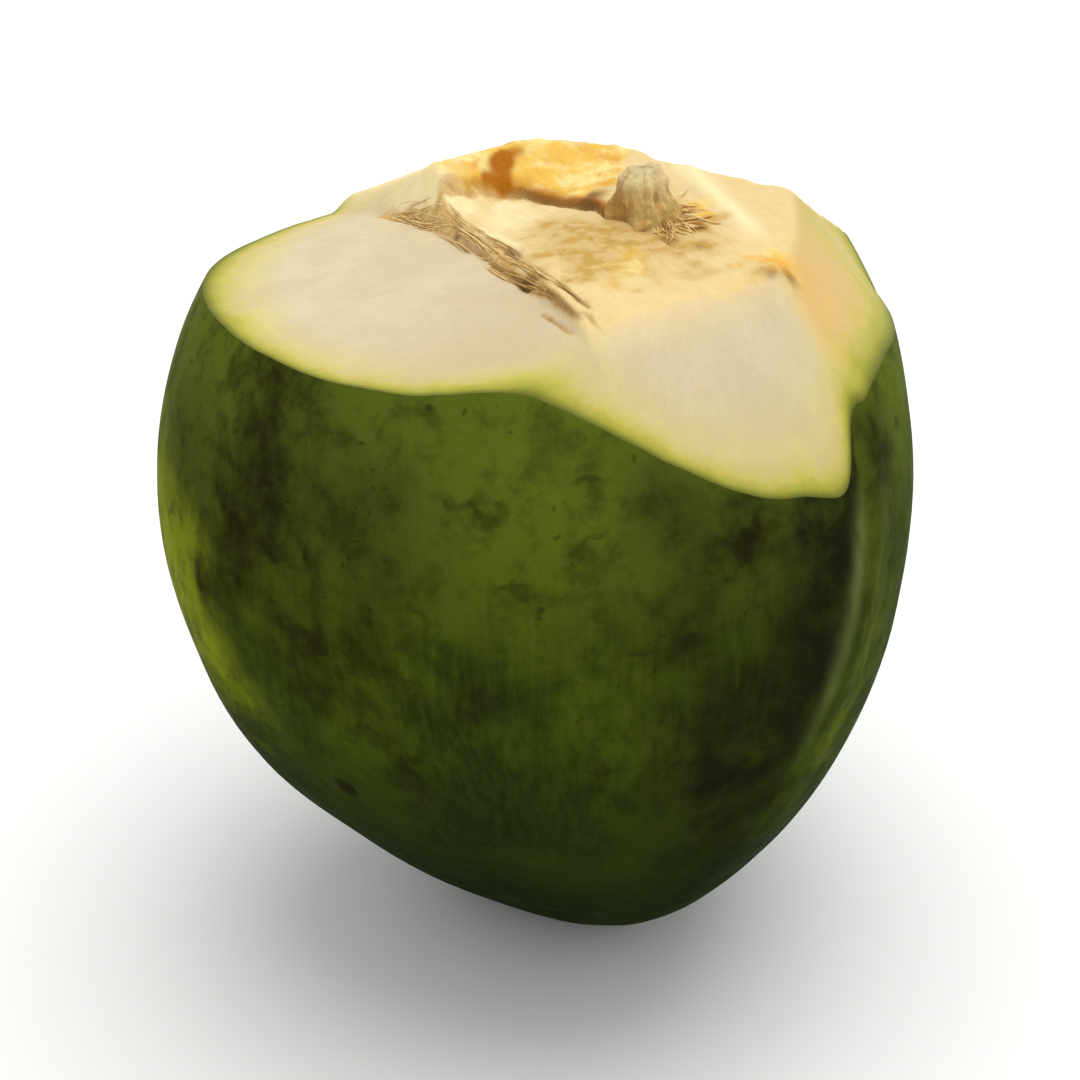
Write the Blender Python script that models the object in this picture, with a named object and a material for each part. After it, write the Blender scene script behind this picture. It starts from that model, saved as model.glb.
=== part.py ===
"""A young green coconut, trimmed with a few knife strokes round its stem end.

The whole nut grew as one piece, so it is one object. Metres, +Z up. The origin is the middle of the small
flat spot that it rests on, and the nut's front is towards -Y.
"""

from math import atan2, cos, exp, pi, radians, sin, sqrt, tau

import bmesh
import bpy
from mathutils import Matrix, Vector

# The husk before it was cut: a rounded body, widest at GIRTH_CENTRE, with a narrower tip below.
GIRTH_RADIUS = 0.0851
GIRTH_CENTRE = Vector((-0.0056, 0.0, 0.1127))
TIP_DEPTH = 0.1174
CROWN_HEIGHT = 0.0923
TIP_TAPER = -0.45
CROWN_FULLNESS = 0.05
DEPTH_TO_WIDTH = 1.012
BODY_LEAN = radians(4.3)

# A coconut has three blunt sides, which fade in from the crown to the tip, with a soft ridge between them.
SIDES = 3
SIDE_SWELL = 0.092
SIDE_TURN = radians(-61.2)
SIDE_TWIST = radians(27.5)
RIDGE_SWELL = 0.030
RIDGE_WIDTH = radians(8.3)
RIDGE_SHIFTS = (radians(13.5), 0.0, radians(33.4))

# The long slash across the top. A cut on one side of it is lower than the cut on the other.
SLASH_POINT = Vector((-0.0167, -0.0176))
SLASH_ALONG = Vector((0.419, -0.908))
SLASH_ACROSS = Vector((0.908, 0.419))

# Where the floors of the trimmed top meet, seen from above: the middle one is a strip beside the slash, the
# crest lies behind CREST_FRONT, and the floor round the stalk's stub starts at STEM_SIDE.
MIDDLE_STRIP = 0.0215
CREST_FRONT = 0.0157
STEM_SIDE = 0.0059
MIDDLE_END_FRONT = -0.025
MIDDLE_END_LEFT = -0.010

# Each cut is a plane: a point on it, then its rise for each metre towards +X and towards +Y.
LEFT_CUT = (Vector((-0.0455, -0.0121, 0.1638)), 0.140, -0.069)
MIDDLE_CUT = (Vector((-0.0114, 0.0079, 0.1732)), 0.209, -0.047)
CREST_CUT = (Vector((-0.0079, 0.0167, 0.1735)), -0.05, 0.40)
STEM_CUT = (Vector((0.0237, -0.0104, 0.1767)), 0.0, 0.02)
FRONT_CUT = (Vector((0.0262, -0.0564, 0.1638)), -0.492, 0.745)
RIGHT_CUT = (Vector((0.0568, -0.0045, 0.1621)), -1.112, 0.021)
BACK_CUT = (Vector((-0.0044, 0.0591, 0.1604)), -0.08, -0.70)
BACK_RIGHT_CUT = (Vector((0.0349, 0.0439, 0.1618)), -0.35, -0.595)
BACK_LEFT_CUT = (Vector((-0.0415, 0.0567, 0.1561)), 0.84, -0.55)

# The stub of the fruit stalk, left standing in the middle of the cuts.
STUB_CENTRE = Vector((0.0142, -0.0010, 0.1745))
STUB_HEIGHT = 0.023
STUB_FOOT_RADIUS = 0.0105
STUB_TOP_RADIUS = 0.0072
STUB_LEAN = radians(-7)

# How far the cutters reach, and how much neighbours overlap.
REACH = 0.15
SKY = 0.50
OVERLAP = 0.0003

BODY_SEGMENTS = 72
BODY_RINGS = 40
STUB_SEGMENTS = 24

SKIN_COLOUR = (0.045, 0.085, 0.012, 1.0)
CUT_COLOUR = (0.72, 0.58, 0.36, 1.0)
STUB_COLOUR = (0.33, 0.20, 0.08, 1.0)


def clear_scene():
    for obj in list(bpy.data.objects):
        bpy.data.objects.remove(obj, do_unlink=True)


def new_collection(name):
    collection = bpy.data.collections.new(name)
    bpy.context.scene.collection.children.link(collection)
    return collection


def new_material(name, colour, roughness):
    material = bpy.data.materials.new(name)
    material.use_nodes = True
    shader = material.node_tree.nodes["Principled BSDF"]
    shader.inputs["Base Color"].default_value = colour
    shader.inputs["Roughness"].default_value = roughness
    shader.inputs["Metallic"].default_value = 0.0
    return material


def new_object(name, bm, collection, material):
    bm.normal_update()
    bmesh.ops.recalc_face_normals(bm, faces=bm.faces)
    mesh = bpy.data.meshes.new(name)
    bm.to_mesh(mesh)
    bm.free()
    mesh.materials.append(material)
    obj = bpy.data.objects.new(name, mesh)
    collection.objects.link(obj)
    return obj


def between(angle):
    """The same angle, from -pi to pi."""
    return (angle + pi) % tau - pi


def husk_point(level, turn):
    """A point of the uncut husk: level runs from -1 at the tip to 1 at the crown, turn is the angle round it."""
    if level < 0:
        height, taper = TIP_DEPTH, TIP_TAPER
    else:
        height, taper = CROWN_HEIGHT, CROWN_FULLNESS
    radius = GIRTH_RADIUS * sqrt(max(0.0, 1 - level**2)) * sqrt(1 + taper * level**2)
    towards_tip = (1 - level) / 2
    swell = SIDE_SWELL * cos(SIDES * (turn - SIDE_TURN))
    for side, shift in enumerate(RIDGE_SHIFTS):
        ridge = SIDE_TURN + side * tau / SIDES + shift + SIDE_TWIST * level
        swell += RIDGE_SWELL * exp(-((between(turn - ridge) / RIDGE_WIDTH) ** 2))
    radius *= 1 + towards_tip * swell
    point = Vector((radius * cos(turn), radius * sin(turn) * DEPTH_TO_WIDTH, height * level))
    return GIRTH_CENTRE + Matrix.Rotation(-BODY_LEAN, 3, "Y") @ point


def add_husk(collection, material):
    bm = bmesh.new()
    bmesh.ops.create_uvsphere(bm, u_segments=BODY_SEGMENTS, v_segments=BODY_RINGS, radius=1)
    for vert in bm.verts:
        level = max(-1.0, min(1.0, vert.co.z))
        vert.co = husk_point(level, atan2(vert.co.y, vert.co.x))
    return new_object("coconut", bm, collection, material)


def cut_height(cut, x, y):
    point, rise_x, rise_y = cut
    return point.z + rise_x * (x - point.x) + rise_y * (y - point.y)


def add_knife(name, cut, corners, collection, material):
    """A block over a four-cornered patch of the nut's top: its underside is the cut, and its top is far above."""
    bm = bmesh.new()
    bmesh.ops.create_cube(bm, size=2)
    order = {(-1, -1): 0, (1, -1): 1, (1, 1): 2, (-1, 1): 3}
    for vert in bm.verts:
        x, y = corners[order[round(vert.co.x), round(vert.co.y)]]
        vert.co = (x, y, cut_height(cut, x, y) if vert.co.z < 0 else SKY)
    return as_cutter(new_object(name, bm, collection, material))


def as_cutter(obj):
    obj.hide_render = True
    obj.display_type = "WIRE"
    return obj


def beside_slash(near, far):
    """Corners of a strip that runs along the slash, from near to far across it."""
    corners = []
    for along, across in ((-REACH, near), (REACH, near), (REACH, far), (-REACH, far)):
        corners.append(SLASH_POINT + SLASH_ALONG * along + SLASH_ACROSS * across)
    return corners


def rectangle(left, right, front, back):
    return [(left, front), (right, front), (right, back), (left, back)]


def strip_edge_at(y):
    """A point just inside the far edge of the middle strip, at this y."""
    start = SLASH_POINT + SLASH_ACROSS * (MIDDLE_STRIP - OVERLAP)
    return start.x + SLASH_ALONG.x * (y - start.y) / SLASH_ALONG.y, y


def add_knives(collection, material):
    """The floors of the trimmed top, each over its own patch, then the strokes that slope away all round."""
    everywhere = rectangle(-REACH, REACH, -REACH, REACH)
    stem_patch = rectangle(STEM_SIDE, REACH, -REACH, REACH)
    middle_end_patch = rectangle(MIDDLE_END_LEFT, STEM_SIDE + OVERLAP, MIDDLE_END_FRONT, CREST_FRONT)
    crest_patch = [
        strip_edge_at(CREST_FRONT - OVERLAP),
        (STEM_SIDE + OVERLAP, CREST_FRONT - OVERLAP),
        (STEM_SIDE + OVERLAP, REACH),
        strip_edge_at(REACH),
    ]
    patches = (
        ("left_knife", LEFT_CUT, beside_slash(-REACH, 0.0)),
        ("middle_knife", MIDDLE_CUT, beside_slash(-OVERLAP, MIDDLE_STRIP + OVERLAP)),
        ("middle_end_knife", MIDDLE_CUT, middle_end_patch),
        ("crest_knife", CREST_CUT, crest_patch),
        ("stem_knife", STEM_CUT, stem_patch),
        ("front_knife", FRONT_CUT, everywhere),
        ("right_knife", RIGHT_CUT, everywhere),
        ("back_knife", BACK_CUT, everywhere),
        ("back_right_knife", BACK_RIGHT_CUT, everywhere),
        ("back_left_knife", BACK_LEFT_CUT, beside_slash(0.0, REACH)),
    )
    return [add_knife(name, cut, corners, collection, material) for name, cut, corners in patches]


def add_foot_cutter(collection, material):
    """Takes the lowest few millimetres off the tip, which leaves the flat spot at height zero."""
    bm = bmesh.new()
    bmesh.ops.create_cube(bm, size=REACH, matrix=Matrix.Translation((0, 0, -REACH / 2)))
    return as_cutter(new_object("foot_knife", bm, collection, material))


def add_stub(collection, material):
    place = Matrix.Translation(STUB_CENTRE) @ Matrix.Rotation(STUB_LEAN, 4, "X")
    bm = bmesh.new()
    bmesh.ops.create_cone(
        bm,
        cap_ends=True,
        segments=STUB_SEGMENTS,
        radius1=STUB_FOOT_RADIUS,
        radius2=STUB_TOP_RADIUS,
        depth=STUB_HEIGHT,
        matrix=place,
    )
    return as_cutter(new_object("stalk_stub", bm, collection, material))


def add_boolean(target, other, operation):
    modifier = target.modifiers.new(other.name, "BOOLEAN")
    modifier.operation = operation
    modifier.solver = "EXACT"
    modifier.material_mode = "TRANSFER"
    modifier.object = other


def main():
    clear_scene()
    parts = new_collection("green_coconut")
    cutters = new_collection("cutters")
    skin = new_material("coconut_skin", SKIN_COLOUR, 0.4)
    cut_husk = new_material("cut_husk", CUT_COLOUR, 0.8)
    stalk = new_material("stalk_fibre", STUB_COLOUR, 0.9)

    coconut = add_husk(parts, skin)
    for knife in add_knives(cutters, cut_husk):
        add_boolean(coconut, knife, "DIFFERENCE")
    add_boolean(coconut, add_foot_cutter(cutters, skin), "DIFFERENCE")
    add_boolean(coconut, add_stub(cutters, stalk), "UNION")
    coconut.data.shade_smooth()
    coconut.data.set_sharp_from_angle(angle=radians(30))


main()
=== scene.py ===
"""The finished look of a young green coconut with its stem end trimmed by knife.

Every length is in metres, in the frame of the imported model, with the nut standing on the origin.
"""

import math

import bpy
import numpy as np
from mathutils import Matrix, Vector


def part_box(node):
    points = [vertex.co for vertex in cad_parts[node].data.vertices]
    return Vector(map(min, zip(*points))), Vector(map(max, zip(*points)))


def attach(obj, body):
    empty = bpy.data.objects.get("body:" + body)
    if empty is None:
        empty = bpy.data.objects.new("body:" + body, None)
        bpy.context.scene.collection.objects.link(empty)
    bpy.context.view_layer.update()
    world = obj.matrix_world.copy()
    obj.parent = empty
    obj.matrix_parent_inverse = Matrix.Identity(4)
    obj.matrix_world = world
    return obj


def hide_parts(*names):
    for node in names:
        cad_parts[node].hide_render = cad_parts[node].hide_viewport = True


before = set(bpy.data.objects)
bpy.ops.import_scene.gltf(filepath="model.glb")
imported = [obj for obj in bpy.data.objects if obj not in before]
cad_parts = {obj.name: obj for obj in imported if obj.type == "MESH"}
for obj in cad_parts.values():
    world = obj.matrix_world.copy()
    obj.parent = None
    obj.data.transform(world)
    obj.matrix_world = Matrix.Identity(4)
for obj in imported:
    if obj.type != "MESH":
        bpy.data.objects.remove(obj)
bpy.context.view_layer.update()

bl_info = {
    "name": "Green Coconut",
    "version": (1, 0, 0),
    "blender": (4, 5, 0),
    "location": "View3D > Sidebar > Coconut",
    "description": "Builds a trimmed green coconut, its torn fibres and a plain studio",
    "category": "Add Mesh",
}

NODE = "coconut"
BODY = "root"
NODE_LOW, NODE_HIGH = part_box(NODE)

# One millimetre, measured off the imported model: the nut is 169.75 mm wide.
MM = (NODE_HIGH.x - NODE_LOW.x) / 169.75

# The uncut husk: a rounded body with a narrower tip, three blunt sides and three soft ridges.
GIRTH_CENTRE = np.array((-5.6, 0.0, 112.7)) * MM
GIRTH_RADIUS = 85.1 * MM
TIP_DEPTH = 117.4 * MM
CROWN_HEIGHT = 92.3 * MM
TIP_TAPER = -0.45
CROWN_FULLNESS = 0.05
DEPTH_TO_WIDTH = 1.012
BODY_LEAN = math.radians(4.3)
SIDES = 3
SIDE_SWELL = 0.092
SIDE_TURN = math.radians(-61.2)
SIDE_TWIST = math.radians(27.5)
RIDGE_SWELL = 0.030
RIDGE_WIDTH = math.radians(8.3)
RIDGE_SHIFTS = tuple(math.radians(shift) for shift in (13.5, 0.0, 33.4))
RIGHT_RIDGE = 0

# Where the right ridge swells beside the front cut, and dips where the two front cuts meet: degrees past the
# ridge, level, half width in degrees, half height in levels, and part of the radius. The shoulder at the back
# right is told in the same way, but with its turn.
RIDGE_BUMPS = ((1.4, 0.12, 8.0, 0.32, 0.0645), (0.6, 0.38, 3.3, 0.20, -0.077))
SHOULDER = (33.0, 0.47, 24.0, 0.24, 0.034)

# Each flat cut is a plane: a point on it in millimetres, then its rise per metre towards +X and towards +Y.
MIDDLE_CUT = ((-11.4, 7.9, 173.2), 0.209, -0.047)
STEM_CUT = ((23.7, -10.4, 176.7), 0.0, 0.02)
CREST_CUT = ((-7.9, 16.7, 173.5), -0.05, 0.40)
BACK_CUT = ((-4.4, 59.1, 160.4), -0.08, -0.70)
BACK_RIGHT_CUT = ((34.9, 43.9, 161.8), -0.35, -0.595)
BACK_LEFT_CUT = ((-55.0, 58.0, 154.5), 0.31, -0.45)
LEFT_CUT = ((-37.3, 0.0, 165.7), 0.207, -0.072)
FRONT_CUT = ((26.4, -53.9, 167.0), -0.49, 0.724)
RIGHT_CUT = ((56.8, -11.8, 164.2), -1.084, 0.0935)

# The last three are bent. First come the bends, in millimetres of rise for each square millimetre: along X,
# along X times Y, and along Y, in front of the point and behind it. Then comes how far they go from the
# point, in millimetres: to the left and right, and to the front and back.
LEFT_BEND = ((0.00143, 0.0011, -0.00136, -0.00136), (-math.inf, math.inf), (-math.inf, math.inf))
FRONT_BEND = ((-0.0065, 0.00664, -0.00396, -0.00396), (-41, 33), (-29, 29))
RIGHT_BEND = ((0.0, -0.00734, -0.00563, -0.0033), (-15, 15), (-37, 37))

# The dip at the right corner of the front cut: its place, radius and depth, in millimetres.
CORNER_DIP = (49.6, -64.1, 20.3, 1.35)

# The slash across the top, seen from above: a point on it and its directions along and across.
SLASH_POINT = np.array((-16.7, -17.6)) * MM
SLASH_ALONG = np.array((0.419, -0.908))
SLASH_ACROSS = np.array((0.908, 0.419))

# Pits torn out along the slash, in millimetres: along it, across it, half length, half width and depth.
PITS = (
    (-24, 0.8, 2.0, 0.8, 1.0),
    (-18, 0.5, 4.0, 1.2, 0.6),
    (-0.5, 3.7, 3.2, 1.2, 1.7),
    (14.6, 0.9, 2.6, 1.4, 1.6),
)

# Fine splits that run out of the near end of the slash, in millimetres: where one starts, along and across,
# where it ends, along and across, and its depth.
SPLITS = (
    (22.0, 3.4, 38.0, 4.7, 0.55),
    (19.0, 0.7, 40.0, 1.1, 0.55),
    (27.0, -2.2, 41.0, -0.9, 0.45),
    (35.0, 2.6, 45.0, 3.6, 0.35),
)

# Small rough knots between the front cut and the right cut: place, radius and depth, in millimetres.
KNOTS = ((41.5, -30.5, 3.2, 0.9), (45.0, -33.0, 2.0, 0.6), (38.5, -27.5, 2.2, 0.5))

# Soft spots that colour the trimmed top, seen from above: place and radius in millimetres, then strength.
WARM_SPOTS = (
    (11, -24, 6, 0.5),
    (26.5, 1, 4, 0.9),
    (27, -6, 3, 0.6),
    (8, -36, 6, 0.35),
    (42, -25, 5, 0.6),
    (34, -22, 7, 0.3),
)
FRAYED_SPOTS = (
    (-2, -15, 9, 0.8),
    (3, -25, 7, 0.8),
    (13, -17, 9, 1.0),
    (-6, -4, 5, 0.9),
    (5, -16, 6, 0.8),
    (20, -22, 7, 0.5),
    (2, -31, 5, 0.9),
    (26, -18, 4.5, 0.9),
    (39, -31, 4, 1.0),
    (44, -29, 3.5, 0.7),
    (22, -32, 5, 0.4),
)
HOT_SPOTS = (
    (-17, 24.5, 4.0, 1.0),
    (-27, 21, 3.5, 0.15),
    (6, 12, 4, 0.35),
    (40, -30, 3, 0.55),
    (5, 3.5, 3, 0.1),
    (24.5, -9, 2.8, 1.0),
    (18.5, -15.5, 2.8, 0.4),
    (25.5, -20.5, 2.5, 0.25),
)
DARK_SPOTS = (
    (2.5, 4.5, 2.6, 0.45),
    (5.5, 7.5, 3, 0.3),
    (18.5, -15.5, 2.6, 0.6),
    (25.5, -9, 2.2, 0.6),
    (25.5, -19.5, 2.2, 0.5),
    (14.5, -9, 1.6, 0.4),
    (39, -31, 2.8, 0.42),
    (43.5, -30, 2.2, 0.40),
)
TORN_SPOTS = (
    (24.5, -9, 2.6, 1.0),
    (2.5, 5, 2.6, 0.8),
    (6, 8, 3, 0.7),
    (18.5, -15, 2.6, 0.9),
    (39.5, -31, 2.5, 0.35),
    (43.5, -30, 2, 0.3),
)
# Painted highlights: spots right of the slash, and one on the bank, which slopes away from the light.
PALE_SPOTS = ((-14, 4, 8, 0.8), (-26, 13, 5, 0.48))
BANK_SPOTS = ((-30, 19, 6, 0.7),)
TAN_SPOTS = ((51, -28, 19, 1.0),)

# The stub of the fruit stalk, and the rings and points of its surface.
STUB_FOOT = np.array((14.2, -1.6, 173.5)) * MM
STUB_TOP = NODE_HIGH.z
STUB_ROWS = 90
STUB_COLUMNS = 180

# The torn strands: how many points each path has, and how many sides a strand has.
SLASH_STRAND_POINTS = 12
STUB_STRAND_POINTS = 10
STRAND_SIDES = 4

# The stage: where the soft light from above stands and points, how wide it spreads, and the camera's lens.
OVERHEAD_PLACE = (0.14, 0.16, 1.1)
OVERHEAD_AIM = (0.0, 0.0, 0.1)
OVERHEAD_SPREAD = math.radians(55)
LENS_MM = 85
SENSOR_MM = 36


def linear(hex_colour):
    """An sRGB hex colour as linear red, green and blue."""
    parts = [int(hex_colour[i : i + 2], 16) / 255 for i in (1, 3, 5)]
    return [c / 12.92 if c <= 0.04045 else ((c + 0.055) / 1.055) ** 2.4 for c in parts]


# Shapes ------------------------------------------------------------------------------------------------


def lattice_noise(points, size, seed):
    """Smooth noise from -1 to 1: random heights on a cubic lattice of this size, blended by cubic steps."""
    table = np.random.default_rng(seed).uniform(-1, 1, (32, 32, 32))
    scaled = np.asarray(points) / size
    cell = np.floor(scaled).astype(int)
    part = scaled - cell
    part = part * part * (3 - 2 * part)
    total = 0.0
    for corner in np.ndindex(2, 2, 2):
        weight = np.prod(np.where(corner, part, 1 - part), axis=-1)
        index = (cell + corner) % 32
        total = total + weight * table[index[..., 0], index[..., 1], index[..., 2]]
    return total


def flat_noise(x, y, size, seed):
    """The same noise over places seen from above."""
    return lattice_noise(np.stack((x, y, 0 * x), axis=-1), size, seed)


def smooth_step(low, high, value):
    """A cubic step from 0 at low to 1 at high."""
    t = np.clip((value - low) / (high - low), 0, 1)
    return t * t * (3 - 2 * t)


def stretch(value, start, full, fading, end):
    """One from full to fading, with cubic steps up from nothing at start and down to nothing at end."""
    return smooth_step(start, full, value) * smooth_step(end, fading, value)


def soft_min(a, b, width):
    """The lower of two heights, with the crease between them rounded over this width."""
    t = np.clip(0.5 + 0.5 * (b - a) / width, 0, 1)
    return b + (a - b) * t - width * t * (1 - t)


def soft_max(a, b, width):
    """The higher of two heights, rounded in the same way."""
    return -soft_min(-a, -b, width)


def bell(distance, width):
    """One at no distance, falling away as a Gaussian of this width."""
    return np.exp(-((distance / width) ** 2))


def between(angle):
    """The same angle, from -pi to pi."""
    return (angle + math.pi) % math.tau - math.pi


def ridge_turn(side, level):
    """The turn at which a ridge stands, at this level of the husk."""
    return SIDE_TURN + side * math.tau / SIDES + RIDGE_SHIFTS[side] + SIDE_TWIST * level


def skin_patches(places, level, turn):
    """Soft patches of the skin added up, each a bell round its turn times a bell round its level. A place is
    its turn in degrees, its level, half width in degrees, half height in levels, and strength."""
    total = 0.0
    for at_turn, at_level, width, height, strength in places:
        around = np.degrees(between(turn - math.radians(at_turn)))
        total = total + strength * bell(around, width) * bell(level - at_level, height)
    return total


def husk_swell(level, turn):
    """How far the husk is pushed out, as a part of its radius. Its three sides, their ridges and the bumps on
    the right ridge fade from the tip to the crown, and a soft shoulder stands at the back right."""
    swell = SIDE_SWELL * np.cos(SIDES * (turn - SIDE_TURN))
    for side in range(SIDES):
        swell = swell + RIDGE_SWELL * bell(between(turn - ridge_turn(side, level)), RIDGE_WIDTH)
    swell = swell + skin_patches(RIDGE_BUMPS, level, turn - ridge_turn(RIGHT_RIDGE, level))
    return (1 - level) / 2 * swell + skin_patches((SHOULDER,), level, turn)


def husk_radius(level):
    """The radius of an even husk at this level: an arc, tapered towards the tip and full at the crown."""
    taper = np.where(level < 0, TIP_TAPER, CROWN_FULLNESS)
    return GIRTH_RADIUS * np.sqrt(np.clip(1 - level**2, 0, None) * (1 + taper * level**2))


def husk_points(level, turn):
    """The uncut skin. Level runs from -1 at the tip to 1 at the crown, and turn goes round. The radius at a
    level is widened by the sides and ridges, and the whole body leans a little to the right at its tip."""
    radius = husk_radius(level) * (1 + husk_swell(level, turn))
    x = radius * np.cos(turn)
    y = radius * np.sin(turn) * DEPTH_TO_WIDTH
    z = np.where(level < 0, TIP_DEPTH, CROWN_HEIGHT) * level
    c, s = math.cos(BODY_LEAN), math.sin(BODY_LEAN)
    return GIRTH_CENTRE + np.stack((x * c - z * s, y, x * s + z * c), axis=-1)


def husk_level_turn(points):
    """The level, turn and distance from the husk's own axis of any points inside it."""
    x, y, z = np.moveaxis(points - GIRTH_CENTRE, -1, 0)
    c, s = math.cos(BODY_LEAN), math.sin(BODY_LEAN)
    x, z = x * c + z * s, z * c - x * s
    level = np.clip(np.where(z < 0, z / TIP_DEPTH, z / CROWN_HEIGHT), -1, 1)
    y = y / DEPTH_TO_WIDTH
    return level, np.arctan2(y, x), np.hypot(x, y)


def depth_under_skin(points):
    """How deep points lie under the skin: the gap to it along the radius, over the slope of that gap."""

    def gap(where):
        level, turn, distance = husk_level_turn(where)
        return husk_radius(level) * (1 + husk_swell(level, turn)) - distance

    step = 0.2 * MM
    here = gap(points)
    slope = np.stack([(gap(points + step * axis) - here) / step for axis in np.eye(3)], axis=-1)
    return here / np.clip(np.linalg.norm(slope, axis=-1), 1, None)


def cut_height(cut, x, y):
    """The height of a flat cut: its plane."""
    (at_x, at_y, at_z), rise_x, rise_y = cut
    return at_z * MM + rise_x * (x - at_x * MM) + rise_y * (y - at_y * MM)


def bent_cut_height(cut, bend, x, y):
    """The height of a bent cut: its plane, and a curve of the second degree that levels off past its span."""
    (at_x, at_y, _), _, _ = cut
    (bend_x, bend_xy, bend_front, bend_back), across, deep = bend
    u = np.clip(x - at_x * MM, across[0] * MM, across[1] * MM)
    v = np.clip(y - at_y * MM, deep[0] * MM, deep[1] * MM)
    bend_y = np.where(v < 0, bend_front, bend_back)
    return cut_height(cut, x, y) + (bend_x * u * u + bend_xy * u * v + bend_y * v * v) / MM


def front_slope(x, y):
    """The big front cut, which bulges a little and dips at its right corner."""
    at_x, at_y, radius, depth = CORNER_DIP
    corner = depth * MM * bell(np.hypot(x - at_x * MM, y - at_y * MM), radius * MM)
    return bent_cut_height(FRONT_CUT, FRONT_BEND, x, y) - corner


def slash_bend(along):
    """How far the slash has bent away to the left, at its far end."""
    return 6.0 * MM * smooth_step(-52 * MM, -85 * MM, along)


def slash_frame(x, y):
    """Distances along the slash and across it, of a place seen from above."""
    from_point = np.stack((x, y), axis=-1) - SLASH_POINT
    along = from_point @ SLASH_ALONG
    return along, from_point @ SLASH_ACROSS + slash_bend(along)


def tear_line(x, y):
    """How far a place lies behind the torn edge of the warm band. The edge runs level from the slash to the
    right, then slants forward to the foot of the stub."""
    straight = y - 17.0 * MM
    slant = (x + 11.0 * MM) * 0.714 + (y - 17.0 * MM) * 0.70
    return soft_max(np.where(x < -11 * MM, straight, slant), straight, 1.0 * MM)


def plain_top(x, y):
    """The height of the trimmed top without its fine relief, then how far right of the slash, on the front
    cut, on the right cut and past the front cut's crease each place lies.

    Left of the slash lies one dished cut. Right of it lies the lower of the middle and stem cuts, or the warm
    band's slope where that is higher, under the bank at the far end. A step joins the two sides, steep by the
    front and broad by the bank. The slopes all round then take what stands above them."""
    along, across = slash_frame(x, y)
    inner = soft_min(cut_height(MIDDLE_CUT, x, y), cut_height(STEM_CUT, x, y), 1.2 * MM)
    inner = soft_max(inner, cut_height(CREST_CUT, x, y), 2.0 * MM)
    inner = soft_min(inner, cut_height(BACK_LEFT_CUT, x, y), 2.5 * MM)
    breadth = (1.4 + 4.0 * smooth_step(-26 * MM, -50 * MM, along)) * MM
    right_side = smooth_step(-0.6 * MM, breadth, across)
    left = bent_cut_height(LEFT_CUT, LEFT_BEND, x, y)
    height = left * (1 - right_side) + inner * right_side
    back = soft_min(cut_height(BACK_CUT, x, y), cut_height(BACK_RIGHT_CUT, x, y), 2.0 * MM)
    height = soft_min(height, back, 1.0 * MM)
    front = front_slope(x, y)
    uneven = 0.9 * MM * flat_noise(x, y, 5 * MM, 18)
    past_front = height - front
    on_front = smooth_step(-1.6 * MM, 1.6 * MM, past_front + uneven)
    height = soft_min(height, front, 2.0 * MM)
    side = bent_cut_height(RIGHT_CUT, RIGHT_BEND, x, y)
    on_side = smooth_step(-1.0 * MM, 2.5 * MM, height - side)
    height = soft_min(height, side, 1.6 * MM)
    return height, right_side, on_front * (1 - on_side), on_side, past_front


def split_middle(along, split):
    """How far across the slash a split lies: on a straight line through its start and its end."""
    start, start_across, end, end_across, _ = split
    share = (along / MM - start) / (end - start)
    return (start_across + (end_across - start_across) * share) * MM


def slash_band(along):
    """The middle and the half width of the torn band along the slash, which is widest half way."""
    middle = (0.5 + 1.5 * smooth_step(-45 * MM, -16 * MM, along)) * MM
    half = (1.4 + 1.4 * bell(along + 3 * MM, 20 * MM)) * MM
    return middle, half


def slash_relief(along, across, uncut):
    """The torn slash: how deep it lies under the cuts, how torn it is, and its painted shade and painted
    highlight. A ribbed band runs along it, with painted shade along its lower edge and a painted highlight on
    its lip, with pits in it, and fine splits run on from its end; pits and splits are darkened with painted
    shade."""
    at = along / MM
    ragged = 0.5 * MM * lattice_noise(np.stack((along, 0 * along, 0 * along), axis=-1), 4 * MM, 4)
    ribs = lattice_noise(np.stack((along / 9, across, 0 * along), axis=-1), 0.9 * MM, 19)
    middle, half = slash_band(along)
    band = bell(across - middle + ragged, half) * stretch(at, -67, -58, 14, 28) * uncut
    depth = (0.5 - 0.35 * ribs) * MM * band
    torn = (0.62 - 0.3 * ribs) * band
    low_edge = bell(across + 0.1 * MM + 0.6 * ragged, 0.8 * MM) * uncut
    torn = torn + 0.5 * low_edge * stretch(at, -67, -60, 12, 22)
    # Painted shade along the band's lower edge.
    dark = 0.55 * low_edge * stretch(at, -22, -6, 12, 19)
    # The lip is a painted highlight along the band's upper edge.
    lip = bell(across - middle - 1.15 * half + ragged, 1.0 * MM) * stretch(at, -66, -58, -8, 6)
    # Pits and splits are sunk and darkened with painted shade.
    for pit_along, pit_across, length, width, deep in PITS:
        pit = bell(np.hypot((at - pit_along) / length, (across / MM - pit_across) / width), 1.0)
        depth = depth + deep * MM * pit
        dark = dark + deep / 1.6 * pit
    for split in SPLITS:
        start, _, end, _, deep = split
        line = bell(across - split_middle(along, split) + 0.35 * ragged, 0.85 * MM)
        line = line * stretch(at, start - 3, start + 2, end - 6, end + 2)
        depth = depth + deep * MM * line
        torn = torn + 1.8 * deep * line
        dark = dark + 1.1 * deep * line
    return depth, torn, dark, lip


def torn_layer(x, y, right_side):
    """The torn layer of the warm band: how far places lie behind its edge, the layer itself, and its edge."""
    behind = tear_line(x, y) + 0.9 * MM * flat_noise(x, y, 3.5 * MM, 3)
    layer = smooth_step(-0.6 * MM, 0.7 * MM, behind) * smooth_step(20 * MM, 12 * MM, x) * right_side
    edge = bell(behind + 0.2 * MM, 1.5 * MM) * stretch(x / MM, -40, -26, 11, 17) * right_side
    return behind, layer, edge


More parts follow.
